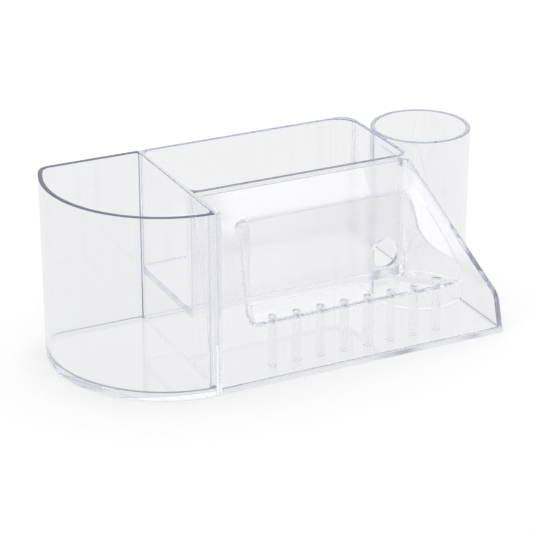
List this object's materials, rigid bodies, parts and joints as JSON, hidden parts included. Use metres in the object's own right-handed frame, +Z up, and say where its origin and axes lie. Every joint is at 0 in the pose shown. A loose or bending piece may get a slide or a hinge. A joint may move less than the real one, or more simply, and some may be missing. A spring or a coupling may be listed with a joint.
{
  "type": "nail drill holder",
  "caption": "Clear plastic desk holder with a round-ended bin, a raised tub, a sloping front with a recessed shelf of bit sockets, and a round cup.",
  "frame": {"origin": "middle of the underside of the whole holder", "axes": "+X along the length from the bin to the cup, +Y from the sloping front to the rear, +Z up"},
  "size_m": [0.2442, 0.098, 0.1],
  "materials": {
    "clear_plastic": "clear, polished mould surface"
  },
  "bodies": {
    "root": {"bin_floor": "clear_plastic", "bin_wall": "clear_plastic", "divider": "clear_plastic", "main_floor": "clear_plastic", "tub_wall": "clear_plastic", "tub_floor": "clear_plastic", "rear_panel": "clear_plastic", "front_panel": "clear_plastic", "side_wall": "clear_plastic", "recess_left_wall": "clear_plastic", "recess_right_wall": "clear_plastic", "recess_top_wall": "clear_plastic", "bit_shelf": "clear_plastic", "drill_cup": "clear_plastic", "bit_socket_1": "clear_plastic", "bit_socket_2": "clear_plastic", "bit_socket_3": "clear_plastic", "bit_socket_4": "clear_plastic", "bit_socket_5": "clear_plastic", "bit_socket_6": "clear_plastic", "bit_socket_7": "clear_plastic", "bit_socket_8": "clear_plastic"}
  },
  "joints": []
}
